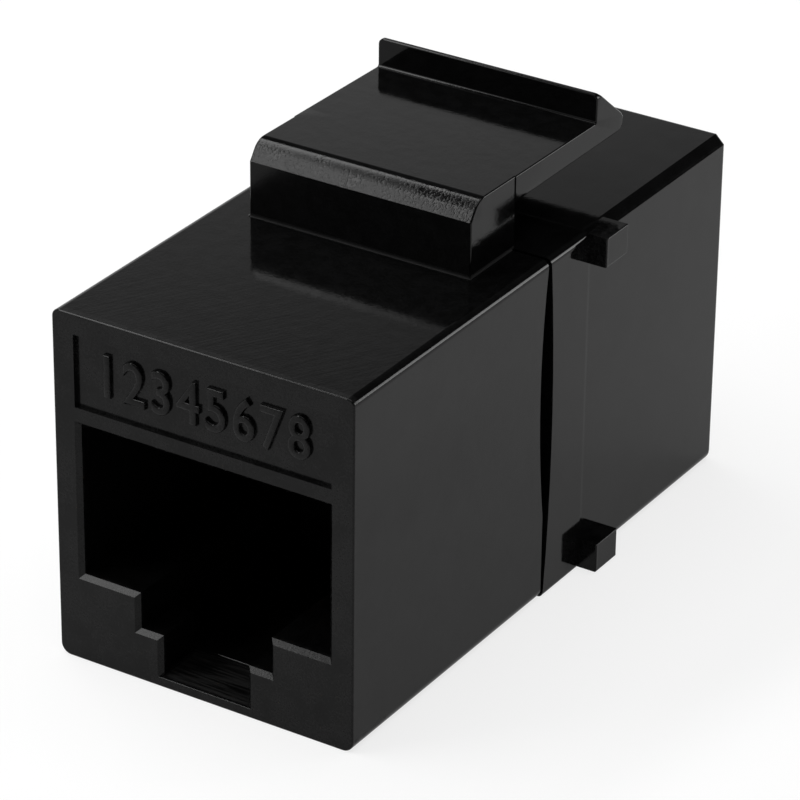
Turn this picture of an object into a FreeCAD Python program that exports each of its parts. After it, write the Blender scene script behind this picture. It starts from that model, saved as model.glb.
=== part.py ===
import FreeCAD, Part
import math
import os

import Sketcher

# Driving dimensions in millimetres: name, size, what it measures
SIZES = (
    ("body_width", 14.6, "both housings, side to side"),
    ("body_height", 16.2, "both housings, bottom to top"),
    ("front_length", 15.0, "front housing, face to seam"),
    ("rear_length", 15.0, "rear housing, face to seam"),
    ("side_wall", 1.22, "housing wall beside a port"),
    ("top_wall", 1.3, "housing wall above the contact insert"),
    ("floor_wall", 1.3, "housing wall below the circuit board"),
    ("top_edge_radius", 0.35, "long top edges of the front housing"),
    ("bottom_edge_radius", 0.5, "long bottom edges of both housings"),
    ("collar_edge_radius", 0.3, "long top edges of the collar"),
    ("collar_low_radius", 0.24, "long bottom edges of the collar"),
    ("rear_edge_chamfer", 0.43, "long top edges behind the collar"),
    ("face_edge_radius", 0.08, "edge round the front face"),
    ("rear_face_radius", 0.3, "edge round the rear face"),
    ("head_height", 5.1, "top of a port to the top of the body"),
    ("port_floor", 4.08, "ledges that a plug slides on, above the bottom"),
    ("step_width", 6.5, "upper step of the plug's latch slot"),
    ("step_floor", 2.39, "floor of that step, above the bottom"),
    ("notch_width", 4.26, "lower step of the plug's latch slot"),
    ("notch_floor", 0.45, "floor of the lower step, above the bottom"),
    ("catch_floor", 0.7, "floor behind the sill, above the bottom"),
    ("sill_depth", 2.5, "wall that the plug's latch catches behind"),
    ("sill_edge_radius", 0.06, "front edge of the sill and of the floor behind it"),
    ("lead_in", 0.2, "chamfer round a port's mouth"),
    ("ledge_wall", 1.2, "plastic left round the hollows under the ledges"),
    ("label_wall", 2.2, "front wall above a port"),
    ("label_depth", 0.2, "depth of the label recess"),
    ("label_side", 1.05, "label recess to the side of the body"),
    ("label_top", 0.92, "label recess to the top of the body"),
    ("label_gap", 0.85, "label recess to the top of the port"),
    ("latch_width", 10.9, "latch block, side to side"),
    ("latch_block_length", 3.46, "latch block, front to seam"),
    ("latch_rise", 3.32, "top of the latch block above the body"),
    ("latch_gap", 2.14, "space under the latch arm"),
    ("slant_depth", 0.575, "slant above the latch block's front, front to back"),
    ("slant_height", 0.79, "slant above the latch block's front, bottom to top"),
    ("slant_radius", 0.88, "rounding from the slant to the top of the latch block"),
    ("latch_foot_radius", 0.1, "hollow corner round the foot of the latch block"),
    ("latch_edge_radius", 0.07, "side edges of the latch block and the arm"),
    ("arm_width", 10.98, "latch arm, side to side"),
    ("arm_fall", 0.09, "top of the arm, lower at the lip than at the seam; the block slopes alike"),
    ("lip_place", 6.55, "seam to the foot of the lip"),
    ("lip_rise", 1.31, "lip above the latch arm"),
    ("lip_flat", 0.2, "flat top of the lip"),
    ("lip_corner_radius", 0.28, "upper corners of the lip"),
    ("lip_foot_radius", 0.1, "hollow corner at the foot of the lip"),
    ("nose_place", 8.87, "seam to the tip of the arm"),
    ("nose_rise", 0.67, "end of the lip's ramp above the underside of the arm"),
    ("nose_radius", 0.42, "rounding of the tip of the arm"),
    ("collar_length", 3.05, "seam to the front of the lugs"),
    ("lug_reach", 0.88, "lugs out from the side of the body"),
    ("lug_depth", 1.77, "lugs, front to back"),
    ("lug_height", 1.36, "lugs, bottom to top"),
    ("lug_inset", 0.06, "lugs in from the top and bottom of the body"),
    ("lug_radius", 0.06, "outer edges of the lugs"),
    ("seam_gap", 0.18, "front housing short of the seam"),
    ("front_bow", 0.45, "hollow of the front housing's edge at the seam"),
    ("front_bow_low", 4.1, "lower end of that hollow above the bottom"),
    ("rear_bow", 0.42, "hollow of the rear housing's edge at the seam"),
    ("spigot_length", 2.0, "spigot past the seam into the front housing"),
    ("spigot_root", 1.2, "spigot behind the seam"),
    ("fit_clearance", 0.08, "play round the spigot, board and inserts"),
    ("board_thickness", 1.0, "circuit board"),
    ("board_hole", 0.55, "hole for a contact's tail"),
    ("comb_depth", 2.4, "rear wall of a contact insert"),
    ("comb_slot_depth", 1.4, "slots for the contacts' tips"),
    ("slot_width", 0.62, "slots for the contacts"),
    ("wire_diameter", 0.45, "contact wire"),
    ("contact_pitch", 1.02, "contact to contact"),
    ("run_rise", 0.6, "lower row of wires above the top of the port"),
    ("row_spacing", 1.2, "lower row of wires to the upper row"),
    ("bend_place", 3.6, "face to the centre of a contact's bend"),
    ("bend_radius", 0.5, "bend of a contact in the lower row"),
    ("tail_reach", 0.4, "contact's tail past the board"),
    ("tip_depth", 1.0, "contact's tip into its comb slot"),
    ("tip_drop", 2.5, "contact's tip below the top of the port"),
)
CONTACTS = 8
NEAR = 1e-4

# Heights, widths and depths that several pieces share
HALF_BODY = "dims.body_width / 2"
HALF_PORT = "(dims.body_width / 2 - dims.side_wall)"
HALF_ARM = "dims.arm_width / 2"
HALF_STEP = "dims.step_width / 2"
HALF_NOTCH = "dims.notch_width / 2"
HALF_SPIGOT = "(dims.body_width / 2 - dims.side_wall / 2)"
SPIGOT_TOP = "(dims.body_height - dims.top_wall / 2)"
SPIGOT_LOW = "(dims.floor_wall / 2)"
PORT_TOP = "(dims.body_height - dims.head_height)"
CHAMBER_TOP = "(dims.body_height - dims.top_wall)"
LOW_RUN = f"({PORT_TOP} + dims.run_rise)"
HIGH_RUN = f"({LOW_RUN} + dims.row_spacing)"
SLOT_TOP = f"({HIGH_RUN} + dims.wire_diameter / 2 + dims.fit_clearance)"
FRONT_FACE = "-(dims.front_length + dims.rear_length) / 2"
REAR_FACE = "(dims.front_length + dims.rear_length) / 2"
SEAM = "(dims.front_length - dims.rear_length) / 2"

doc = FreeCAD.newDocument("keystone_coupler")
dims = doc.addObject("Spreadsheet::Sheet", "dims")
for row, (alias, number, meaning) in enumerate(SIZES, start=1):
    dims.set(f"A{row}", alias)
    dims.set(f"B{row}", str(number))
    dims.setAlias(f"B{row}", alias)
    dims.set(f"C{row}", meaning)
doc.recompute()
parts = []


def size(expression):
    """The present value of an expression in the sheet's names."""
    return float(dims.evalExpression(expression))


def new_body(label, y, z="0", x="0", turned=False):
    """A sub-part whose own Y starts at its face; a turned one faces the rear."""
    body = doc.addObject("PartDesign::Body", label)
    body.Label = label
    if turned:
        body.Placement = FreeCAD.Placement(FreeCAD.Vector(), FreeCAD.Rotation(FreeCAD.Vector(0, 0, 1), 180))
    for axis, place in (("x", x), ("y", y), ("z", z)):
        body.setExpression(f"Placement.Base.{axis}", place)
    parts.append(body)
    return body


def sketch_on(body, name, role, depth=None):
    """A sketch on one of the body's planes; depth moves a cross-section back along Y."""
    sketch = body.newObject("Sketcher::SketchObject", f"{body.Name}_{name}")
    plane = next(item for item in body.Origin.OriginFeatures if item.Role == role)
    sketch.AttachmentSupport = [(plane, "")]
    sketch.MapMode = "FlatFace"
    if depth:
        sketch.setExpression("AttachmentOffset.Base.z", f"-({depth})")
    return sketch


def sketch_line(sketch, start, end):
    return sketch.addGeometry(Part.LineSegment(start, end))


def pin(sketch, edge, end, u=None, v=None):
    """Ties one end of an edge to expressions, measured from the sketch's origin."""
    for kind, expression in (("DistanceX", u), ("DistanceY", v)):
        if expression is not None:
            rule = Sketcher.Constraint(kind, -1, 1, edge, end, size(expression))
            sketch.setExpression(f"Constraints[{sketch.addConstraint(rule)}]", expression)


def set_radius(sketch, edge, expression):
    """Ties the radius of an arc or a circle to an expression."""
    rule = Sketcher.Constraint("Radius", edge, size(expression))
    sketch.setExpression(f"Constraints[{sketch.addConstraint(rule)}]", expression)


def outline(sketch, corners):
    """Adds a closed outline through corners given as pairs of expressions."""
    spots = [FreeCAD.Vector(size(u), size(v), 0) for u, v in corners]
    first = sketch.GeometryCount
    for index, spot in enumerate(spots):
        sketch_line(sketch, spot, spots[(index + 1) % len(spots)])
    for index, (u, v) in enumerate(corners):
        before = first + (index - 1) % len(corners)
        sketch.addConstraint(Sketcher.Constraint("Coincident", before, 2, first + index, 1))
        pin(sketch, first + index, 1, u, v)


def rectangle(sketch, left, right, low, high):
    outline(sketch, ((left, low), (right, low), (right, high), (left, high)))


def circle(sketch, u, v, radius):
    centre = FreeCAD.Vector(size(u), size(v), 0)
    index = sketch.addGeometry(Part.Circle(centre, FreeCAD.Vector(0, 0, 1), size(radius)))
    pin(sketch, index, 3, u, v)
    set_radius(sketch, index, radius)


def add_feature(body, kind, name, sketch, length):
    feature = body.newObject(f"PartDesign::{kind}", f"{body.Name}_{name}")
    feature.Profile = sketch
    feature.setExpression("Length", length)
    return feature


def pad(body, name, sketch, length, both_sides=False):
    """Adds material back along Y, or to both sides of the middle plane."""
    feature = add_feature(body, "Pad", name, sketch, length)
    if both_sides:
        feature.SideType = "Symmetric"
    else:
        feature.Reversed = True
    doc.recompute()
    return feature


def pocket(body, name, sketch, length, forwards=False, both_sides=False):
    """Cuts back along Y, forwards from the seam, or to both sides; it must take something away."""
    before = body.Tip.Shape.Volume
    feature = add_feature(body, "Pocket", name, sketch, length)
    if both_sides:
        feature.SideType = "Symmetric"
    feature.Reversed = forwards
    doc.recompute()
    if feature.Shape.Volume >= before:
        raise RuntimeError(f"{feature.Name} cuts nothing")
    return feature


def repeat_along_x(body, feature, sketch):
    """Repeats a feature once for each contact."""
    pattern = body.newObject("PartDesign::LinearPattern", f"{feature.Name}_row")
    pattern.Originals = [feature]
    pattern.Direction = (sketch, ["H_Axis"])
    pattern.setExpression("Length", f"dims.contact_pitch * {CONTACTS - 1}")
    pattern.Occurrences = CONTACTS
    body.Tip = pattern
    doc.recompute()


def dress(body, kind, name, amount, choose):
    """Rounds or chamfers the edges that a test on their middle picks."""
    base = body.Tip
    names = []
    for index, edge in enumerate(base.Shape.Edges, start=1):
        middle = edge.valueAt((edge.FirstParameter + edge.LastParameter) / 2)
        if choose(middle):
            names.append(f"Edge{index}")
    feature = body.newObject(f"PartDesign::{kind}", f"{body.Name}_{name}")
    feature.Base = (base, names)
    feature.setExpression("Radius" if kind == "Fillet" else "Size", amount)
    doc.recompute()


def near(first, second):
    return abs(first - second) < NEAR


def on_face(middle):
    """Picks the edges round a housing's face."""
    return near(middle.y, 0)


def rounded_section(sketch, half, low, high, low_radius, high_radius):
    """A rectangle across the body with rounded lower and upper corners."""
    left = f"-({half})"
    spots = (
        (f"{left} + {low_radius}", low),
        (f"{half} - {low_radius}", low),
        (half, f"{low} + {low_radius}"),
        (half, f"{high} - {high_radius}"),
        (f"{half} - {high_radius}", high),
        (f"{left} + {high_radius}", high),
        (left, f"{high} - {high_radius}"),
        (left, f"{low} + {low_radius}"),
    )
    points = [FreeCAD.Vector(size(u), size(v), 0) for u, v in spots]
    lines = [sketch_line(sketch, points[index], points[index + 1]) for index in range(0, 8, 2)]
    for index, line in enumerate(lines):
        pin(sketch, line, 1, *spots[2 * index])
        pin(sketch, line, 2, *spots[2 * index + 1])
    corners = (
        (f"{half} - {low_radius}", f"{low} + {low_radius}", low_radius),
        (f"{half} - {high_radius}", f"{high} - {high_radius}", high_radius),
        (f"{left} + {high_radius}", f"{high} - {high_radius}", high_radius),
        (f"{left} + {low_radius}", f"{low} + {low_radius}", low_radius),
    )
    for index, (u, v, radius) in enumerate(corners):
        turn = index * math.pi / 2
        ring = Part.Circle(FreeCAD.Vector(size(u), size(v), 0), FreeCAD.Vector(0, 0, 1), size(radius))
        arc = sketch.addGeometry(Part.ArcOfCircle(ring, turn - math.pi / 2, turn))
        sketch.addConstraint(Sketcher.Constraint("Coincident", lines[index], 2, arc, 1))
        sketch.addConstraint(Sketcher.Constraint("Coincident", arc, 2, lines[(index + 1) % 4], 1))
        set_radius(sketch, arc, radius)


def body_section(body, name, low_radius, high_radius, depth=None):
    """The housings' outer section with rounded corners."""
    sketch = sketch_on(body, name, "XZ_Plane", depth)
    rounded_section(sketch, HALF_BODY, "0", "dims.body_height", low_radius, high_radius)
    return sketch


def cut_port(body, length):
    """The stepped mouth with its lead-in, the plug's passage and the hollows behind the face."""
    mouth = sketch_on(body, "mouth_outline", "XZ_Plane")
    outline(mouth, (
        (f"-{HALF_NOTCH}", "dims.notch_floor"),
        (HALF_NOTCH, "dims.notch_floor"),
        (HALF_NOTCH, "dims.step_floor"),
        (HALF_STEP, "dims.step_floor"),
        (HALF_STEP, "dims.port_floor"),
        (HALF_PORT, "dims.port_floor"),
        (HALF_PORT, PORT_TOP),
        (f"-{HALF_PORT}", PORT_TOP),
        (f"-{HALF_PORT}", "dims.port_floor"),
        (f"-{HALF_STEP}", "dims.port_floor"),
        (f"-{HALF_STEP}", "dims.step_floor"),
        (f"-{HALF_NOTCH}", "dims.step_floor"),
    ))
    pocket(body, "mouth", mouth, "dims.sill_depth")
    half_port = size(HALF_PORT)
    notch_floor = size("dims.notch_floor")
    port_top = size(PORT_TOP)

    def on_mouth(middle):
        inside = abs(middle.x) < half_port + NEAR and notch_floor + NEAR < middle.z < port_top + NEAR
        return near(middle.y, 0) and inside

    dress(body, "Chamfer", "lead_in", "dims.lead_in", on_mouth)
    passage = sketch_on(body, "passage_outline", "XZ_Plane")
    rectangle(passage, f"-{HALF_PORT}", HALF_PORT, "dims.port_floor", PORT_TOP)
    pocket(body, "passage", passage, length)
    chamber = sketch_on(body, "chamber_outline", "XZ_Plane", "dims.label_wall")
    rectangle(chamber, f"-{HALF_PORT}", HALF_PORT, PORT_TOP, CHAMBER_TOP)
    pocket(body, "chamber", chamber, length)
    catch = sketch_on(body, "catch_outline", "XZ_Plane", "dims.sill_depth")
    rectangle(catch, f"-{HALF_STEP}", HALF_STEP, "dims.catch_floor", "dims.port_floor")
    catch_end = f"{length} - dims.board_thickness / 2 - dims.comb_depth"
    pocket(body, "catch", catch, f"{catch_end} - dims.sill_depth")
    sill_back = size("dims.sill_depth")
    catch_floor = size("dims.catch_floor")

    def on_sill_edge(middle):
        on_front = near(middle.y, 0) and near(middle.z, notch_floor)
        on_back = near(middle.y, sill_back) and near(middle.z, catch_floor)
        return near(middle.x, 0) and (on_front or on_back)

    dress(body, "Fillet", "sill_edges", "dims.sill_edge_radius", on_sill_edge)
    cores = sketch_on(body, "core_outline", "XZ_Plane", length)
    inner = f"{HALF_STEP} + dims.ledge_wall"
    for left, right in ((inner, HALF_PORT), (f"-{HALF_PORT}", f"-({inner})")):
        rectangle(cores, left, right, "dims.floor_wall", "dims.port_floor - dims.ledge_wall")
    pocket(body, "cores", cores, f"{length} - dims.label_wall", forwards=True)


def bow_seam(body, length, bow, low="0"):
    """Hollows the seam edge along a shallow arc up to the top."""
    sketch = sketch_on(body, "bow_outline", "YZ_Plane")
    start = FreeCAD.Vector(size(length), size(low), 0)
    end = FreeCAD.Vector(size(length), size("dims.body_height"), 0)
    middle = FreeCAD.Vector(size(f"{length} - {bow}"), (start.y + end.y) / 2, 0)
    chord = sketch_line(sketch, start, end)
    arc = sketch.addGeometry(Part.Arc(end, middle, start))
    pin(sketch, chord, 1, length, low)
    pin(sketch, chord, 2, length, "dims.body_height")
    sketch.addConstraint(Sketcher.Constraint("Coincident", chord, 2, arc, 1))
    sketch.addConstraint(Sketcher.Constraint("Coincident", arc, 2, chord, 1))
    set_radius(sketch, arc, f"({bow} ^ 2 + (dims.body_height - {low}) ^ 2 / 4) / (2 * {bow})")
    pocket(body, "bow", sketch, "dims.body_width * 2", both_sides=True)


def add_latch_block(body):
    """Block on the front housing's top, with a slanted front, that carries the latch arm."""
    side = sketch_on(body, "latch_outline", "YZ_Plane")
    front = "(dims.front_length - dims.latch_block_length)"
    back_top = "(dims.body_height + dims.latch_rise)"
    slant_end = f"({front} + dims.slant_depth)"
    slope = "dims.arm_fall / dims.lip_place"
    front_top = f"({back_top} + {slope} * (dims.latch_block_length - dims.slant_depth))"
    outline(side, (
        (front, CHAMBER_TOP),
        ("dims.front_length", CHAMBER_TOP),
        ("dims.front_length", back_top),
        (slant_end, front_top),
        (front, f"{back_top} - dims.slant_height"),
    ))
    pad(body, "latch_block", side, "dims.latch_width", both_sides=True)
    half_block = size("dims.latch_width / 2")
    body_top = size("dims.body_height")
    block_top = size(front_top)
    block_front = size(front)
    block_back = size("dims.front_length")
    slant_top = size(slant_end)

    def on_slant_top(middle):
        return near(middle.x, 0) and near(middle.y, slant_top) and near(middle.z, block_top)

    def on_block_side(middle):
        above = middle.z > body_top + NEAR
        return near(abs(middle.x), half_block) and above and middle.y < block_back - NEAR

    def on_block_foot(middle):
        across = near(middle.x, 0) and near(middle.y, block_front)
        along = abs(middle.x) < half_block + NEAR and middle.y > block_front
        return near(middle.z, body_top) and middle.y < block_back - NEAR and (across or along)

    dress(body, "Fillet", "slant_round", "dims.slant_radius", on_slant_top)
    dress(body, "Fillet", "block_sides", "dims.latch_edge_radius", on_block_side)
    dress(body, "Fillet", "block_foot", "dims.latch_foot_radius", on_block_foot)


def make_front_housing():
    """Shell with the label panel and port in its face and the latch block on its top."""
    body = new_body("front_housing", FRONT_FACE)
    section = body_section(body, "section", "dims.bottom_edge_radius", "dims.top_edge_radius")
    shell_end = "(dims.front_length - dims.seam_gap)"
    pad(body, "block", section, shell_end)
    dress(body, "Fillet", "face_edge", "dims.face_edge_radius", on_face)

    add_latch_block(body)

    label = sketch_on(body, "label_outline", "XZ_Plane")
    label_side = f"({HALF_BODY} - dims.label_side)"
    label_low = f"{PORT_TOP} + dims.label_gap"
    rectangle(label, f"-{label_side}", label_side, label_low, "dims.body_height - dims.label_top")
    pocket(body, "label_recess", label, "dims.label_depth")
    cut_port(body, "dims.front_length")
    seat = sketch_on(body, "spigot_seat_outline", "XZ_Plane", "dims.front_length")
    half_seat = f"({HALF_SPIGOT} + dims.fit_clearance)"
    rectangle(
        seat, f"-{half_seat}", half_seat,
        f"{SPIGOT_LOW} - dims.fit_clearance", f"{SPIGOT_TOP} + dims.fit_clearance",
    )
    pocket(body, "spigot_seat", seat, "dims.spigot_length", forwards=True)
    bow_seam(body, shell_end, "dims.front_bow", "dims.front_bow_low")


def make_rear_housing():
    """Shell with the collar, the side lugs, the rear port and the spigot that joins the halves."""
    body = new_body("rear_housing", REAR_FACE, turned=True)
    collar_start = "(dims.rear_length - dims.collar_length)"
    section = sketch_on(body, "section", "XZ_Plane")
    rectangle(section, f"-{HALF_BODY}", HALF_BODY, "0", "dims.body_height")
    pad(body, "block", section, collar_start)
    half_body = size(HALF_BODY)
    body_top = size("dims.body_height")

    def on_top_edge(middle):
        return near(abs(middle.x), half_body) and near(middle.z, body_top)

    def on_bottom_edge(middle):
        return near(abs(middle.x), half_body) and near(middle.z, 0)

    dress(body, "Chamfer", "top_edges", "dims.rear_edge_chamfer", on_top_edge)
    dress(body, "Fillet", "bottom_edges", "dims.bottom_edge_radius", on_bottom_edge)
    dress(body, "Fillet", "face_edge", "dims.rear_face_radius", on_face)
    collar = body_section(
        body, "collar_section", "dims.collar_low_radius", "dims.collar_edge_radius", collar_start,
    )
    pad(body, "collar", collar, "dims.collar_length")

    lug_start = f"{collar_start} - dims.lug_depth"
    lugs = sketch_on(body, "lug_outline", "XZ_Plane", lug_start)
    lug_out = f"({HALF_BODY} + dims.lug_reach)"
    for left, right in ((HALF_PORT, lug_out), (f"-{lug_out}", f"-{HALF_PORT}")):
        for low in ("dims.lug_inset", "dims.body_height - dims.lug_inset - dims.lug_height"):
            rectangle(lugs, left, right, low, f"{low} + dims.lug_height")
    pad(body, "lugs", lugs, "dims.lug_depth")
    outer = size(lug_out)
    dress(body, "Fillet", "lug_edges", "dims.lug_radius", lambda middle: near(abs(middle.x), outer))

    cut_port(body, "dims.rear_length")
    bow_seam(body, "dims.rear_length", "dims.rear_bow")
    ring = sketch_on(body, "spigot_outline", "XZ_Plane", "dims.rear_length - dims.spigot_root")
    rectangle(ring, f"-{HALF_SPIGOT}", HALF_SPIGOT, SPIGOT_LOW, SPIGOT_TOP)
    rectangle(ring, f"-{HALF_PORT}", HALF_PORT, "dims.floor_wall", CHAMBER_TOP)
    pad(body, "spigot", ring, "dims.spigot_root + dims.spigot_length")
    bay = sketch_on(body, "board_bay_outline", "XZ_Plane", "dims.rear_length")
    rectangle(bay, f"-{HALF_PORT}", HALF_PORT, "dims.floor_wall", CHAMBER_TOP)
    pocket(body, "board_bay", bay, "dims.board_thickness / 2 + dims.fit_clearance", forwards=True)


def make_latch_arm():
    """Springy plate behind the latch block, with a ramped lip near its end."""
    body = new_body("latch_arm", SEAM, "dims.body_height")
    low_top = "(dims.latch_rise - dims.arm_fall)"
    lip_top = f"({low_top} + dims.lip_rise)"
    side = sketch_on(body, "side_outline", "YZ_Plane")
    outline(side, (
        ("0", "dims.latch_gap"),
        ("dims.nose_place", "dims.latch_gap"),
        ("dims.nose_place", lip_top),
        ("dims.lip_place", lip_top),
        ("dims.lip_place", low_top),
        ("0", "dims.latch_rise"),
    ))
    pad(body, "plate", side, "dims.arm_width", both_sides=True)
    half_arm = size(HALF_ARM)
    top = size(lip_top)
    plate_end = size(low_top)
    foot = size("dims.lip_place")
    nose = size("dims.nose_place")
    lip_middle = (plate_end + top) / 2

    def on_lip_corner(middle):
        return near(abs(middle.x), half_arm) and near(middle.z, top)

    def on_lip_foot(middle):
        return near(middle.y, foot) and near(middle.z, plate_end)

    def across_nose(middle):
        return near(middle.x, 0) and near(middle.y, nose)

    def on_arm_edge(middle):
        on_side = near(abs(middle.x), half_arm) and middle.y > NEAR
        on_lip_front = near(middle.y, foot) and middle.z > lip_middle
        return on_side or on_lip_front

    dress(body, "Fillet", "lip_corners", "dims.lip_corner_radius", on_lip_corner)
    dress(body, "Fillet", "lip_foot", "dims.lip_foot_radius", on_lip_foot)
    ramp = sketch_on(body, "ramp_outline", "YZ_Plane")
    outline(ramp, (
        ("dims.nose_place", "dims.latch_gap + dims.nose_rise"),
        ("dims.nose_place", lip_top),
        ("dims.lip_place + dims.lip_flat", lip_top),
    ))
    pocket(body, "ramp", ramp, "dims.arm_width * 2", both_sides=True)
    dress(body, "Fillet", "nose", "dims.nose_radius", across_nose)
    dress(body, "Fillet", "arm_edges", "dims.latch_edge_radius", on_arm_edge)


def make_contact_insert(label, face, length, turned):
    """Moulded comb: a roof slotted for the wires and a rear wall slotted for their tips."""
    body = new_body(label, face, turned=turned)
    half = f"({HALF_PORT} - dims.fit_clearance)"
    top = f"({CHAMBER_TOP} - dims.fit_clearance)"
    front = "(dims.label_wall + dims.fit_clearance)"
    back = f"({length} - dims.board_thickness / 2)"
    wall_front = f"({back} - dims.comb_depth)"
    profile = sketch_on(body, "profile", "YZ_Plane")
    outline(profile, (
        (front, PORT_TOP),
        (wall_front, PORT_TOP),
        (wall_front, "dims.port_floor"),
        (back, "dims.port_floor"),
        (back, top),
        (front, top),
    ))
    pad(body, "comb", profile, f"2 * {half}", both_sides=True)
    first = f"(-dims.contact_pitch * {(CONTACTS - 1) / 2})"
    left = f"{first} - dims.slot_width / 2"
    right = f"{first} + dims.slot_width / 2"
    runs = sketch_on(body, "run_slot_outline", "XZ_Plane", front)
    rectangle(runs, left, right, PORT_TOP, SLOT_TOP)
    repeat_along_x(body, pocket(body, "run_slot", runs, f"{back} - {front}"), runs)
    tips = sketch_on(body, "tip_slot_outline", "XZ_Plane", wall_front)
    slot_low = f"{PORT_TOP} - dims.tip_drop - dims.slot_width"
    rectangle(tips, left, right, slot_low, PORT_TOP)
    repeat_along_x(body, pocket(body, "tip_slot", tips, "dims.comb_slot_depth"), tips)


def make_circuit_board():
    """Board on edge across the seam, with two rows of holes for the contacts' tails."""
    body = new_body("circuit_board", f"{SEAM} - dims.board_thickness / 2")
    plate = sketch_on(body, "plate_outline", "XZ_Plane")
    half = f"({HALF_PORT} - dims.fit_clearance)"
    rectangle(plate, f"-{half}", half, "dims.floor_wall", f"{CHAMBER_TOP} - dims.fit_clearance")
    pad(body, "plate", plate, "dims.board_thickness")
    holes = sketch_on(body, "hole_outline", "XZ_Plane")
    for height in (LOW_RUN, HIGH_RUN):
        circle(holes, f"-dims.contact_pitch * {(CONTACTS - 1) / 2}", height, "dims.board_hole / 2")
    repeat_along_x(body, pocket(body, "holes", holes, "dims.board_thickness"), holes)


def make_contact(label, number, face, length, turned):
    """Wire from the board along the roof, round a bend and back down to its tip in the comb."""
    steps = number - (CONTACTS + 1) / 2
    side = -steps if turned else steps
    body = new_body(label, face, x=f"dims.contact_pitch * {side}", turned=turned)
    upper_row = number % 2 == 0
    run = HIGH_RUN if upper_row else LOW_RUN
    radius = "(dims.bend_radius + dims.row_spacing / 2)" if upper_row else "dims.bend_radius"
    tail = f"({length} + dims.board_thickness / 2 + dims.tail_reach)"
    tip = f"{length} - dims.board_thickness / 2 - dims.comb_depth + dims.tip_depth"
    tip_height = f"{PORT_TOP} - dims.tip_drop"

    path = sketch_on(body, "path", "YZ_Plane")
    bend = FreeCAD.Vector(size("dims.bend_place"), size(f"{run} - {radius}"), 0)
    start = FreeCAD.Vector(size(tail), size(run), 0)
    end = FreeCAD.Vector(size(tip), size(tip_height), 0)
    reach = end - bend
    leave = math.atan2(reach.y, reach.x) - math.acos(size(radius) / reach.Length) + 2 * math.pi
    straight = sketch_line(path, start, FreeCAD.Vector(bend.x, start.y, 0))
    ring = Part.Circle(bend, FreeCAD.Vector(0, 0, 1), size(radius))
    arc = path.addGeometry(Part.ArcOfCircle(ring, math.pi / 2, leave))
    spring = sketch_line(path, ring.value(leave), end)
    pin(path, straight, 1, tail, run)
    pin(path, straight, 2, "dims.bend_place")
    path.addConstraint(Sketcher.Constraint("Horizontal", straight))
    path.addConstraint(Sketcher.Constraint("Tangent", straight, 2, arc, 1))
    set_radius(path, arc, radius)
    path.addConstraint(Sketcher.Constraint("Tangent", arc, 2, spring, 1))
    pin(path, spring, 2, tip, tip_height)

    section = sketch_on(body, "section", "XZ_Plane", tail)
    circle(section, "0", run, "dims.wire_diameter / 2")
    wire = body.newObject("PartDesign::AdditivePipe", f"{label}_wire")
    wire.Profile = section
    wire.Spine = path
    doc.recompute()


def check_model():
    """Stops if any object failed or any sub-part is empty, invalid or in several pieces."""
    for item in doc.Objects:
        if "Invalid" in item.State or "Error" in item.State:
            raise RuntimeError(f"{item.Name} failed: {item.State}")
    for body in parts:
        if body.Shape.isNull() or not body.Shape.isValid() or len(body.Shape.Solids) != 1:
            raise RuntimeError(f"{body.Label} is not one valid solid")


make_front_housing()
make_latch_arm()
make_rear_housing()
make_circuit_board()
ENDS = (("front", FRONT_FACE, "dims.front_length", False), ("rear", REAR_FACE, "dims.rear_length", True))
for end_name, face, length, turned in ENDS:
    make_contact_insert(f"{end_name}_contact_insert", face, length, turned)
    for number in range(1, CONTACTS + 1):
        make_contact(f"{end_name}_contact_{number}", number, face, length, turned)
doc.recompute()
check_model()
os.makedirs("parts", exist_ok=True)
for body in parts:
    body.Shape.exportStep(f"parts/{body.Label}.step")
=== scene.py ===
import math

import bpy
from mathutils import Matrix, Vector


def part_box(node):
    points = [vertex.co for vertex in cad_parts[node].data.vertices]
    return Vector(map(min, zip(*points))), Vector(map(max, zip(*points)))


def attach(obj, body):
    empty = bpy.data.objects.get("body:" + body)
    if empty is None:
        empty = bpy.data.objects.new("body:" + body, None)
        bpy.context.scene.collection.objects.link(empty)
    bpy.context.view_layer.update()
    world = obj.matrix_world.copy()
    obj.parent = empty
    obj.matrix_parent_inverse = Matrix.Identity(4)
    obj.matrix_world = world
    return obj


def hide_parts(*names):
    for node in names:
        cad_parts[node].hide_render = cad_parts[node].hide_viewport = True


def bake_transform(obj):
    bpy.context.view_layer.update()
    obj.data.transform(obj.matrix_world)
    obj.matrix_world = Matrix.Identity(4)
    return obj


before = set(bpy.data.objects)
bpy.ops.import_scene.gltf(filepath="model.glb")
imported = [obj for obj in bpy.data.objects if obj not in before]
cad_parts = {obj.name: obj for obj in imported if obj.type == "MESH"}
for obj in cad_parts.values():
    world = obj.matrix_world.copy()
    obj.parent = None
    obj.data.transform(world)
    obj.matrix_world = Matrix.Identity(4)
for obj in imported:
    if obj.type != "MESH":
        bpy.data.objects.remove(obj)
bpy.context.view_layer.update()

MM = 0.001
BODY = "coupler_body"

# Places read from the solids
FRONT_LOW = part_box("front_housing")[0]
ARM_LOW, ARM_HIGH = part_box("latch_arm")

# Raised numbers in the label recess; the font's numerals are a share of its size tall
LABEL_DEPTH = 0.2 * MM
LABEL_MIDDLE = 13.66 * MM
NUMERALS = "12345678"
NUMERAL_HEIGHT = 1.85 * MM
NUMERAL_NARROWING = 0.84
NUMERAL_PITCH = 1.33 * MM
NUMERAL_RISE = 0.18 * MM
NUMERAL_ROUND = 0.1 * MM
NUMERAL_WEIGHT = 0.06 * MM
NUMERAL_ROUND_STEPS = 3
NUMERAL_CURVE_STEPS = 8
FONT_HEIGHT = 0.69

# Latch arm: where it bends when it is pressed, from its root
BEND_END = 2.2 * MM
BEND_CUTS = 8

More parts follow.
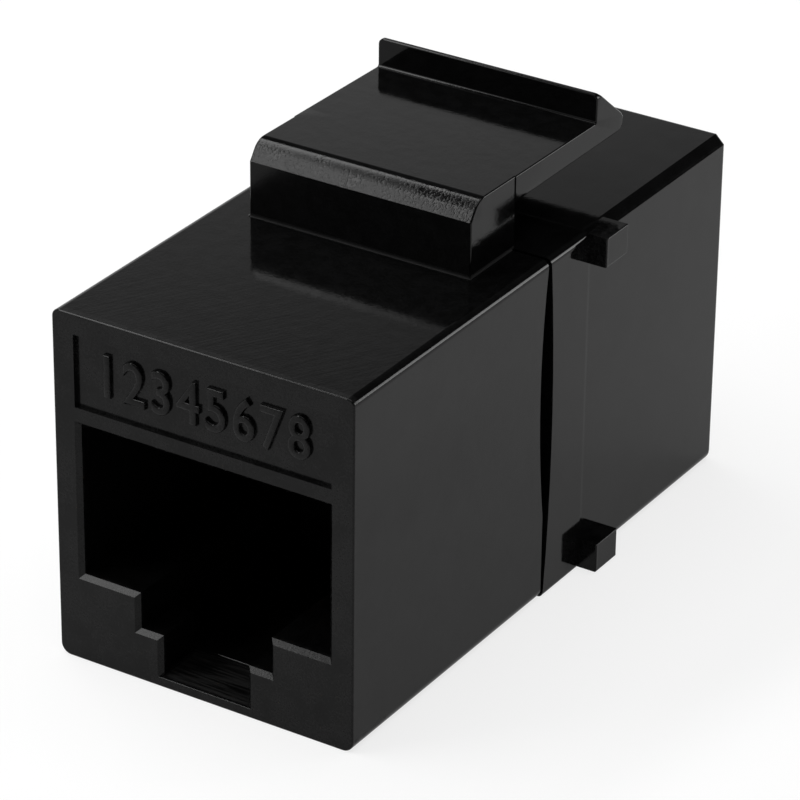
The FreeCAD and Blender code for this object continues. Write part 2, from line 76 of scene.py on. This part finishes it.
# Meshes of the numerals and the arm
MERGE_DISTANCE = 0.0005 * MM
SMOOTH_ANGLE = math.radians(48)

# Colours of the plastics, the wires and the board
HOUSING_BLACK = (0.0016, 0.0016, 0.0016, 1)
HOUSING_GREY = (0.0032, 0.0032, 0.0033, 1)
MOTTLE_GREY = (0.0065, 0.0065, 0.0066, 1)
SCUFF_GREY = (0.018, 0.018, 0.018, 1)
INSERT_BLACK = (0.0022, 0.0022, 0.0022, 1)
INSERT_GREY = (0.0036, 0.0036, 0.0036, 1)
GOLD_DEEP = (0.8, 0.5, 0.17, 1)
GOLD_PALE = (0.9, 0.64, 0.27, 1)
BOARD_DARK = (0.011, 0.085, 0.03, 1)
BOARD_GREEN = (0.019, 0.135, 0.05, 1)

# Finishes: roughness, ripples in a metre and strength of the skin's relief
FRONT_FINISH = (0.09, 1500.0, 0.4)
REAR_FINISH = (0.07, 900.0, 0.3)
INSERT_FINISH = (0.45, 1500.0, 0.3)
GOLD_ROUGHNESS = (0.22, 0.34)
BOARD_ROUGHNESS = (0.3, 0.42)
PLASTIC_SPECULAR = 0.15

# Skin that the mould leaves: its scales, its make-up, and how its tone is read
RIPPLE_SCALE = 900.0
GRAIN_SCALE = 9000.0
RIPPLE_SHARE = 0.65
GRAIN_SHARE = 0.35
NOISE_ROUGHNESS = 0.5
NOISE_MIDDLE = 0.5
SKIN_DEPTH = 0.01 * MM
COLOUR_TONES = (0.38, 0.62)
POLISH_TONES = (0.3, 0.7)
POLISH_SPREAD = 0.15
MOTTLE_TONES = (0.4, 0.6)
SPECK_TONES = (0.4, 0.5)
SPECK_SHARES = (0.2, 1.0)

# Places where the skin differs, each in the order of the labels
PLACE_LABELS = ("Low Y", "High Y", "Fade Y", "Low Z", "High Z")
FACE_PLACE = (-16 * MM, -14.6 * MM, 0.1 * MM, -1 * MM, 20 * MM)
TOP_PLACE = (-23 * MM, -5 * MM, 9 * MM, 16.12 * MM, 16.4 * MM)
SLANT_PLACE = (-4 * MM, -2.55 * MM, 0.15 * MM, 18.72 * MM, 20 * MM)
BLOCK_PLACE = (-4 * MM, -3.42 * MM, 0.03 * MM, 16.3 * MM, 18.73 * MM)
FOOT_PLACE = (-3.62 * MM, 0.3 * MM, 0.05 * MM, 16.199 * MM, 16.36 * MM)
SILL_PLACE = (-14.9 * MM, -12.45 * MM, 0.1 * MM, 0.4 * MM, 0.6 * MM)
FLANK_START = 7.2 * MM
MASK_EDGE = 0.02 * MM

# Roughness that rubbing and handling add there
FACE_SATIN = 0.08
SLANT_RUB = 0.08
BLOCK_SATIN = 0.1
FOOT_RUB = 0.55
SILL_RUB = 0.3

# Drawn lines on top, streaks on the sill, specks on the slant, and the line behind the collar
LINE_TURN = math.radians(60)
LINE_LENGTH = 3.0 * MM
LINE_SPACING = 0.2 * MM
LINE_RELIEF = 0.22
STREAK_LENGTH = 2.0 * MM
STREAK_SPACING = 0.12 * MM
STREAK_RELIEF = 1.0
SCUFF_HEIGHTS = (-0.12, 0.12)
SPECK_RELIEF = 0.16
WITNESS_PLACE = (3.02 * MM, 3.24 * MM)
WITNESS_RELIEF = 1.0
WITNESS_RISE = 0.006 * MM

# View of the photograph, fitted to the edges of the object
CAMERA_AZIMUTH = math.radians(32.152)
CAMERA_ELEVATION = math.radians(27.929)
CAMERA_ROLL = math.radians(0.657)
CAMERA_DISTANCE = 192.26 * MM
CAMERA_ASIDE = 0.58 * MM
CAMERA_RAISE = 0.842 * MM
CAMERA_AIM = Vector((0, 1.0 * MM, 8.0 * MM))
CAMERA_LENS = 200.55
CAMERA_CLIP = 1 * MM

# Studio: a white floor, and a backdrop that darkens upwards and to the right
FLOOR_SIZE = 3.0
FLOOR_COLOUR = (0.82, 0.82, 0.82, 1)
FLOOR_ROUGHNESS = 0.9
FLOOR_GLOW = 1.1
FLOOR_GLOW_SEEN = 0.7
FLOOR_GLOW_MIRRORED = 0.37
FLOOR_FADE = (70 * MM, 250 * MM)
WHITE = (1, 1, 1, 1)
BACKDROP_DARK = 0.06
BACKDROP_LEAN = 0.3
BACKDROP_FADE = (0.07, 0.43)

# Strip lamps: name, the two directions between which one shows, width and brightness
LAMP_DISTANCE = 0.4
LAMPS = (
    ("overhead_softbox", (0, -0.42, 0.91), (0, 0.42, 0.91), 0.36, 2.2),
    ("latch_strip", (-0.469, -0.716, 0.516), (-0.469, 0.358, 0.806), 0.063, 8.5),
    ("edge_strip", (0.66, 0.748, 0.02), (0.567, 0.748, 0.342), 0.07, 6.5),
)


def only(piece):
    """Makes a piece the one that operators act on."""
    bpy.ops.object.select_all(action="DESELECT")
    piece.select_set(True)
    bpy.context.view_layer.objects.active = piece


def apply_modifier(piece, kind, name, **settings):
    """Adds a modifier with its settings and applies it."""
    only(piece)
    modifier = piece.modifiers.new(name, kind)
    for key, value in settings.items():
        setattr(modifier, key, value)
    bpy.ops.object.modifier_apply(modifier=name)


def merge_points(piece):
    """Joins the faces of a mesh whose points lie in the same place."""
    only(piece)
    bpy.ops.object.mode_set(mode="EDIT")
    bpy.ops.mesh.select_all(action="SELECT")
    bpy.ops.mesh.remove_doubles(threshold=MERGE_DISTANCE)
    bpy.ops.object.mode_set(mode="OBJECT")


def smooth_rounds(piece):
    """Smooth shading on the rounded edges, with the flats kept flat."""
    only(piece)
    bpy.ops.object.shade_smooth_by_angle(angle=SMOOTH_ANGLE)
    apply_modifier(piece, "WEIGHTED_NORMAL", "flats", keep_sharp=True)


def finish_piece(piece, material, replaced=None):
    """Gives a piece its material, and hides the node that it stands for if one is given."""
    piece.data.materials.append(material)
    if replaced:
        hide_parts(replaced)
    return piece


class Nodes:
    """Short ways to add and join nodes in one tree."""

    def __init__(self, tree):
        self.tree = tree

    def add(self, kind, **settings):
        """Adds a node with its settings."""
        made = self.tree.nodes.new(kind)
        for key, value in settings.items():
            setattr(made, key, value)
        return made

    def join(self, source, target):
        """Links an output to an input."""
        self.tree.links.new(source, target)

    def math(self, operation, first, second=None):
        """A sum with one or two numbers, each given or joined."""
        made = self.add("ShaderNodeMath", operation=operation)
        for socket, value in zip(made.inputs, (first, second)):
            if isinstance(value, bpy.types.NodeSocket):
                self.join(value, socket)
            elif value is not None:
                socket.default_value = value
        return made.outputs[0]

    def blend(self, share, first, second):
        """A mix of two colours, each given or joined."""
        made = self.add("ShaderNodeMix", data_type="RGBA")
        self.join(share, made.inputs[0])
        for socket, colour in ((made.inputs[6], first), (made.inputs[7], second)):
            if isinstance(colour, bpy.types.NodeSocket):
                self.join(colour, socket)
            else:
                socket.default_value = colour
        return made.outputs[2]

    def ramp(self, value, low, high, to_low=0, to_high=1):
        """A smooth change from one value to another."""
        made = self.add("ShaderNodeMapRange", interpolation_type="SMOOTHSTEP")
        self.join(value, made.inputs["Value"])
        limits = {"From Min": low, "From Max": high, "To Min": to_low, "To Max": to_high}
        for key, number in limits.items():
            made.inputs[key].default_value = number
        return made.outputs["Result"]

    def place(self):
        """Where a point lies on the object."""
        return self.add("ShaderNodeTexCoord").outputs["Object"]

    def split(self, vector):
        """The X, Y and Z of a vector."""
        made = self.add("ShaderNodeSeparateXYZ")
        self.join(vector, made.inputs["Vector"])
        return made.outputs

    def group(self, tree, values):
        """A shared effect with its own values."""
        made = self.add("ShaderNodeGroup", node_tree=tree)
        for label, value in values.items():
            made.inputs[label].default_value = value
        return made.outputs


def new_group(name, inputs, outputs):
    """An empty shader group with named number sockets."""
    group = bpy.data.node_groups.new(name, "ShaderNodeTree")
    for label, value in inputs:
        socket = group.interface.new_socket(label, in_out="INPUT", socket_type="NodeSocketFloat")
        socket.default_value = value
    for label in outputs:
        group.interface.new_socket(label, in_out="OUTPUT", socket_type="NodeSocketFloat")
    nodes = Nodes(group)
    return nodes, nodes.add("NodeGroupInput"), nodes.add("NodeGroupOutput")


def noise(nodes, vector, scale, detail=2.0):
    """Even noise, whose scale is given or joined."""
    made = nodes.add("ShaderNodeTexNoise")
    nodes.join(vector, made.inputs["Vector"])
    if isinstance(scale, bpy.types.NodeSocket):
        nodes.join(scale, made.inputs["Scale"])
    else:
        made.inputs["Scale"].default_value = scale
    made.inputs["Detail"].default_value = detail
    made.inputs["Roughness"].default_value = NOISE_ROUGHNESS
    return made.outputs["Fac"]


def make_mould_skin():
    """Faint ripple and grain that a polished mould leaves on plastic."""
    settings = (("Ripple Scale", RIPPLE_SCALE), ("Grain Scale", GRAIN_SCALE))
    nodes, given, out = new_group("mould_skin", settings, ("Height", "Tone"))
    place = nodes.place()
    ripple = noise(nodes, place, given.outputs["Ripple Scale"])
    grain = noise(nodes, place, given.outputs["Grain Scale"], detail=1.0)
    broad = nodes.math("MULTIPLY", ripple, RIPPLE_SHARE)
    fine = nodes.math("MULTIPLY", grain, GRAIN_SHARE)
    nodes.join(nodes.math("ADD", broad, fine), out.inputs["Height"])
    tone = nodes.math("DIVIDE", nodes.math("ADD", ripple, grain), 2)
    nodes.join(tone, out.inputs["Tone"])
    return nodes.tree


def make_drawn_lines():
    """Fine lines drawn along a surface, as a height about nought."""
    settings = (("Turn", 0.0), ("Length", 1.0), ("Spacing", 1.0))
    nodes, given, out = new_group("drawn_lines", settings, ("Height",))
    turn = nodes.add("ShaderNodeCombineXYZ")
    nodes.join(given.outputs["Turn"], turn.inputs["Z"])
    grid = nodes.add("ShaderNodeCombineXYZ")
    for axis, label in (("X", "Length"), ("Y", "Spacing"), ("Z", "Spacing")):
        nodes.join(given.outputs[label], grid.inputs[axis])
    turned = nodes.add("ShaderNodeMapping", vector_type="TEXTURE")
    nodes.join(nodes.place(), turned.inputs["Vector"])
    nodes.join(turn.outputs["Vector"], turned.inputs["Rotation"])
    nodes.join(grid.outputs["Vector"], turned.inputs["Scale"])
    lines = noise(nodes, turned.outputs["Vector"], 1.0, detail=3.0)
    nodes.join(nodes.math("SUBTRACT", lines, NOISE_MIDDLE), out.inputs["Height"])
    return nodes.tree


def make_place_mask():
    """A mask over one stretch of a moulding, between two depths and two heights."""
    settings = [(label, 0.0) for label in PLACE_LABELS]
    nodes, given, out = new_group("place_mask", settings, ("Mask",))
    spot = nodes.split(nodes.place())
    inside = {}
    for axis in ("Y", "Z"):
        past_low = nodes.math("SUBTRACT", spot[axis], given.outputs[f"Low {axis}"])
        before_high = nodes.math("SUBTRACT", given.outputs[f"High {axis}"], spot[axis])
        inside[axis] = nodes.math("MINIMUM", past_low, before_high)
    along = nodes.ramp(nodes.math("DIVIDE", inside["Y"], given.outputs["Fade Y"]), 0, 1)
    upright = nodes.ramp(inside["Z"], 0, MASK_EDGE)
    nodes.join(nodes.math("MULTIPLY", along, upright), out.inputs["Mask"])
    return nodes.tree


def make_flank_mask():
    """A mask over both flanks of a moulding, past a distance from its middle."""
    nodes, given, out = new_group("flank_mask", (("Start", 0.0),), ("Mask",))
    aside = nodes.math("ABSOLUTE", nodes.split(nodes.place())["X"])
    past = nodes.math("SUBTRACT", aside, given.outputs["Start"])
    nodes.join(nodes.ramp(past, 0, MASK_EDGE), out.inputs["Mask"])
    return nodes.tree


def add_relief(nodes, height, strength, distance, below=None):
    """A bump in the surface, on top of another bump if one is given."""
    relief = nodes.add("ShaderNodeBump")
    relief.inputs["Strength"].default_value = strength
    relief.inputs["Distance"].default_value = distance
    nodes.join(height, relief.inputs["Height"])
    if below:
        nodes.join(below, relief.inputs["Normal"])
    return relief.outputs["Normal"]


def new_material(name):
    """A material, with its nodes and its shader."""
    material = bpy.data.materials.new(name)
    material.use_nodes = True
    return material, Nodes(material.node_tree), material.node_tree.nodes["Principled BSDF"]


def new_plastic(name, dark, light, finish):
    """Moulded plastic; returns the material, its nodes, its shader, and its colour, roughness and normal."""
    roughness, ripple, relief = finish
    material, nodes, shader = new_material(name)
    shader.inputs["Specular IOR Level"].default_value = PLASTIC_SPECULAR
    skin = nodes.group(MOULD_SKIN, {"Ripple Scale": ripple})
    colour = nodes.blend(nodes.ramp(skin["Tone"], *COLOUR_TONES), dark, light)
    spread = (roughness * (1 - POLISH_SPREAD), roughness * (1 + POLISH_SPREAD))
    polish = nodes.ramp(skin["Tone"], *POLISH_TONES, *spread)
    normal = add_relief(nodes, skin["Height"], relief, SKIN_DEPTH)
    return material, nodes, shader, colour, polish, normal


def mask_of(nodes, place):
    """The mask over one of the named places."""
    return nodes.group(PLACE_MASK, dict(zip(PLACE_LABELS, place)))["Mask"]


def flanks_of(nodes):
    """The mask over a moulding's flanks."""
    return nodes.group(FLANK_MASK, {"Start": FLANK_START})["Mask"]


def speck_tone(nodes):
    """The tone that mottle and specks follow, at the skin's own scales."""
    return nodes.group(MOULD_SKIN, {})["Tone"]


def mottle_in(nodes, mask, specks, colour):
    """A fine light mottle that keeps to a mask."""
    share = nodes.math("MULTIPLY", mask, nodes.ramp(specks, *MOTTLE_TONES))
    return nodes.blend(share, colour, MOTTLE_GREY)


def lines_in(nodes, mask, turn, length, spacing):
    """Drawn lines that keep to a mask."""
    lines = nodes.group(DRAWN_LINES, {"Turn": turn, "Length": length, "Spacing": spacing})
    return nodes.math("MULTIPLY", lines["Height"], mask)


def front_plastic():
    """Black front moulding: mottled face and flanks, drawn lines on top, rubbed slant, streaked sill."""
    material, nodes, shader, colour, polish, normal = new_plastic(
        "satin_black_front", HOUSING_BLACK, HOUSING_GREY, FRONT_FINISH)
    specks = speck_tone(nodes)
    worn = nodes.ramp(specks, *SPECK_TONES, *SPECK_SHARES)
    slant = nodes.math("MULTIPLY", mask_of(nodes, SLANT_PLACE), worn)
    sill = mask_of(nodes, SILL_PLACE)
    face = mask_of(nodes, FACE_PLACE)
    block = mask_of(nodes, BLOCK_PLACE)
    foot = mask_of(nodes, FOOT_PLACE)
    rubbed = (
        (face, FACE_SATIN),
        (slant, SLANT_RUB),
        (sill, SILL_RUB),
        (block, BLOCK_SATIN),
        (foot, FOOT_RUB),
    )
    for mask, added in rubbed:
        polish = nodes.math("ADD", polish, nodes.math("MULTIPLY", mask, added))
    nodes.join(polish, shader.inputs["Roughness"])
    top_lines = lines_in(nodes, mask_of(nodes, TOP_PLACE), LINE_TURN, LINE_LENGTH, LINE_SPACING)
    streaks = lines_in(nodes, sill, 0.0, STREAK_LENGTH, STREAK_SPACING)
    colour = mottle_in(nodes, nodes.math("MAXIMUM", face, flanks_of(nodes)), specks, colour)
    scuffs = nodes.math("MULTIPLY", nodes.ramp(streaks, *SCUFF_HEIGHTS), sill)
    nodes.join(nodes.blend(scuffs, colour, SCUFF_GREY), shader.inputs["Base Color"])
    for height, relief in ((top_lines, LINE_RELIEF), (streaks, STREAK_RELIEF), (slant, SPECK_RELIEF)):
        normal = add_relief(nodes, height, relief, SKIN_DEPTH, normal)
    nodes.join(normal, shader.inputs["Normal"])
    return material


def rear_plastic():
    """Black rear moulding, a little glossier than the front, with a faint witness line behind its collar."""
    material, nodes, shader, colour, polish, normal = new_plastic(
        "gloss_black_rear", HOUSING_BLACK, HOUSING_GREY, REAR_FINISH)
    colour = mottle_in(nodes, flanks_of(nodes), speck_tone(nodes), colour)
    nodes.join(colour, shader.inputs["Base Color"])
    nodes.join(polish, shader.inputs["Roughness"])
    witness = nodes.ramp(nodes.split(nodes.place())["Y"], *WITNESS_PLACE, 1, 0)
    normal = add_relief(nodes, witness, WITNESS_RELIEF, WITNESS_RISE, normal)
    nodes.join(normal, shader.inputs["Normal"])
    return material


def insert_plastic():
    """Matt black of the combs that carry the contacts."""
    material, nodes, shader, colour, polish, normal = new_plastic(
        "matt_black_insert", INSERT_BLACK, INSERT_GREY, INSERT_FINISH)
    nodes.join(colour, shader.inputs["Base Color"])
    nodes.join(polish, shader.inputs["Roughness"])
    nodes.join(normal, shader.inputs["Normal"])
    return material


def coated(name, deep, pale, roughness, metallic):
    """A thin coat whose colour and polish vary a little, such as plating or solder mask."""
    material, nodes, shader = new_material(name)
    shader.inputs["Metallic"].default_value = metallic
    tone = speck_tone(nodes)
    nodes.join(nodes.blend(nodes.ramp(tone, *COLOUR_TONES), deep, pale), shader.inputs["Base Color"])
    nodes.join(nodes.ramp(tone, *POLISH_TONES, *roughness), shader.inputs["Roughness"])
    return material


def make_label_numerals(material):
    """Raised contact numbers in the recess above the port."""
    pieces = []
    for index, numeral in enumerate(NUMERALS):
        bpy.ops.object.text_add(location=(0, 0, 0))
        text = bpy.context.object
        text.data.body = numeral
        text.data.align_x = "CENTER"
        text.data.align_y = "CENTER"
        text.data.size = NUMERAL_HEIGHT / FONT_HEIGHT
        text.data.offset = NUMERAL_WEIGHT - NUMERAL_ROUND
        text.data.extrude = NUMERAL_RISE - NUMERAL_ROUND
        text.data.bevel_depth = NUMERAL_ROUND
        text.data.bevel_resolution = NUMERAL_ROUND_STEPS
        text.data.resolution_u = NUMERAL_CURVE_STEPS
        only(text)
        bpy.ops.object.convert(target="MESH")
        step = index - (len(NUMERALS) - 1) / 2
        place = Matrix.Translation((step * NUMERAL_PITCH, FRONT_LOW.y + LABEL_DEPTH, LABEL_MIDDLE))
        upright = Matrix.Rotation(math.pi / 2, 4, "X")
        text.data.transform(place @ upright @ Matrix.Diagonal((NUMERAL_NARROWING, 1, 1, 1)))
        pieces.append(text)
    bpy.ops.object.select_all(action="DESELECT")
    for text in pieces:
        text.select_set(True)
    bpy.context.view_layer.objects.active = pieces[0]
    bpy.ops.object.join()
    label = pieces[0]
    label.name = "label_numerals"
    merge_points(label)
    smooth_rounds(label)
    return finish_piece(label, material)


def make_latch_arm(material):
    """The arm with cuts across its root, where it would bend when pressed instead of turning on a line."""
    arm = bpy.data.objects.new("sprung_latch_arm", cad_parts["latch_arm"].data.copy())
    bpy.context.scene.collection.objects.link(arm)
    arm.data.materials.clear()
    only(arm)
    bpy.ops.mesh.customdata_custom_splitnormals_clear()
    merge_points(arm)
    bpy.ops.object.mode_set(mode="EDIT")
    for cut in range(1, BEND_CUTS + 1):
        bpy.ops.mesh.select_all(action="SELECT")
        depth = ARM_LOW.y + BEND_END * cut / BEND_CUTS
        bpy.ops.mesh.bisect(plane_co=(0, depth, 0), plane_no=(0, 1, 0))
    bpy.ops.object.mode_set(mode="OBJECT")
    smooth_rounds(arm)
    finish_piece(arm, material, "latch_arm")
    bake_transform(arm)


def seen_directly(nodes, path):
    """One where the camera looks, straight or through glass, and nought for all other light."""
    return nodes.math("MAXIMUM", path.outputs["Is Camera Ray"], path.outputs["Is Transmission Ray"])


def make_floor():
    """Pale floor that keeps a soft shadow, and turns plain white far from the object."""
    bpy.ops.object.select_all(action="DESELECT")
    bpy.ops.mesh.primitive_plane_add(size=FLOOR_SIZE)
    floor = bpy.context.object
    floor.name = "studio_floor"
    material, nodes, shader = new_material("pale_floor")
    shader.inputs["Base Color"].default_value = FLOOR_COLOUR
    shader.inputs["Roughness"].default_value = FLOOR_ROUGHNESS
    shader.inputs["Specular IOR Level"].default_value = 0.0
    glow = nodes.add("ShaderNodeEmission")
    glow.inputs["Color"].default_value = WHITE
    glow.inputs["Strength"].default_value = FLOOR_GLOW
    path = nodes.add("ShaderNodeLightPath")
    direct = seen_directly(nodes, path)
    away = nodes.add("ShaderNodeVectorMath", operation="LENGTH")
    nodes.join(nodes.place(), away.inputs[0])
    far_white = nodes.ramp(away.outputs["Value"], *FLOOR_FADE, FLOOR_GLOW_SEEN, 1.0)
    seen = nodes.math("MULTIPLY", direct, far_white)
    mirrored = nodes.math("MULTIPLY", path.outputs["Is Glossy Ray"], FLOOR_GLOW_MIRRORED)
    mix = nodes.add("ShaderNodeMixShader")
    nodes.join(nodes.math("MAXIMUM", seen, mirrored), mix.inputs["Fac"])
    nodes.join(shader.outputs["BSDF"], mix.inputs[1])
    nodes.join(glow.outputs["Emission"], mix.inputs[2])
    output = material.node_tree.nodes["Material Output"]
    nodes.join(mix.outputs["Shader"], output.inputs["Surface"])
    floor.data.materials.append(material)


def make_world():
    """White to the camera; to the plastic, a backdrop that is white low down and dark above."""
    world = bpy.data.worlds.new("studio")
    bpy.context.scene.world = world
    world.use_nodes = True
    nodes = Nodes(world.node_tree)
    room = world.node_tree.nodes["Background"]
    room.inputs["Color"].default_value = WHITE
    direction = nodes.split(nodes.add("ShaderNodeTexCoord").outputs["Generated"])
    lean = nodes.math("MULTIPLY", direction["X"], BACKDROP_LEAN)
    height = nodes.math("ADD", direction["Z"], lean)
    backdrop = nodes.ramp(height, *BACKDROP_FADE, 1, BACKDROP_DARK)
    seen = seen_directly(nodes, nodes.add("ShaderNodeLightPath"))
    nodes.join(nodes.math("MAXIMUM", backdrop, seen), room.inputs["Strength"])


def add_softbox(name, start, end, width, brightness):
    """A strip lamp that shows from one direction to another, seen from the object."""
    first = Vector(start).normalized()
    last = Vector(end).normalized()
    away = (first + last).normalized()
    along = (last - first).normalized()
    length = 2 * LAMP_DISTANCE * math.tan(first.angle(last) / 2)
    data = bpy.data.lights.new(name, "AREA")
    data.shape = "RECTANGLE"
    data.size = length
    data.size_y = width
    data.energy = brightness * math.pi * length * width
    lamp = bpy.data.objects.new(name, data)
    bpy.context.scene.collection.objects.link(lamp)
    axes = Matrix((along, away.cross(along), away)).transposed().to_4x4()
    lamp.matrix_world = Matrix.Translation(CAMERA_AIM + away * LAMP_DISTANCE) @ axes
    lamp.visible_camera = False


def make_camera():
    """The camera at the photograph's viewing angle."""
    data = bpy.data.cameras.new("camera")
    data.lens = CAMERA_LENS
    data.clip_start = CAMERA_CLIP
    camera = bpy.data.objects.new("camera", data)
    bpy.context.scene.collection.objects.link(camera)
    level = Vector((math.sin(CAMERA_AZIMUTH), -math.cos(CAMERA_AZIMUTH), 0))
    back = level * math.cos(CAMERA_ELEVATION) + Vector((0, 0, math.sin(CAMERA_ELEVATION)))
    right = Vector((math.cos(CAMERA_AZIMUTH), math.sin(CAMERA_AZIMUTH), 0))
    up = back.cross(right)
    turned_right = right * math.cos(CAMERA_ROLL) + up * math.sin(CAMERA_ROLL)
    turned_up = up * math.cos(CAMERA_ROLL) - right * math.sin(CAMERA_ROLL)
    place = CAMERA_AIM + back * CAMERA_DISTANCE - turned_right * CAMERA_ASIDE - turned_up * CAMERA_RAISE
    axes = Matrix((turned_right, turned_up, back)).transposed().to_4x4()
    camera.matrix_world = Matrix.Translation(place) @ axes
    bpy.context.scene.camera = camera


MOULD_SKIN = make_mould_skin()
DRAWN_LINES = make_drawn_lines()
PLACE_MASK = make_place_mask()
FLANK_MASK = make_flank_mask()
front_black = front_plastic()
rear_black = rear_plastic()
insert_black = insert_plastic()
gold = coated("gold_wire", GOLD_DEEP, GOLD_PALE, GOLD_ROUGHNESS, 1)
board_green = coated("green_solder_mask", BOARD_DARK, BOARD_GREEN, BOARD_ROUGHNESS, 0)

make_latch_arm(front_black)
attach(make_label_numerals(front_black), BODY)
for name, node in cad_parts.items():
    if name == "front_housing":
        node.data.materials[0] = front_black
    elif name == "rear_housing":
        node.data.materials[0] = rear_black
    elif name.endswith("_insert"):
        node.data.materials[0] = insert_black
    elif "_contact_" in name:
        node.data.materials[0] = gold
    elif name == "circuit_board":
        node.data.materials[0] = board_green

make_floor()
make_world()
for lamp in LAMPS:
    add_softbox(*lamp)
make_camera()
bpy.context.scene.view_settings.view_transform = "Standard"
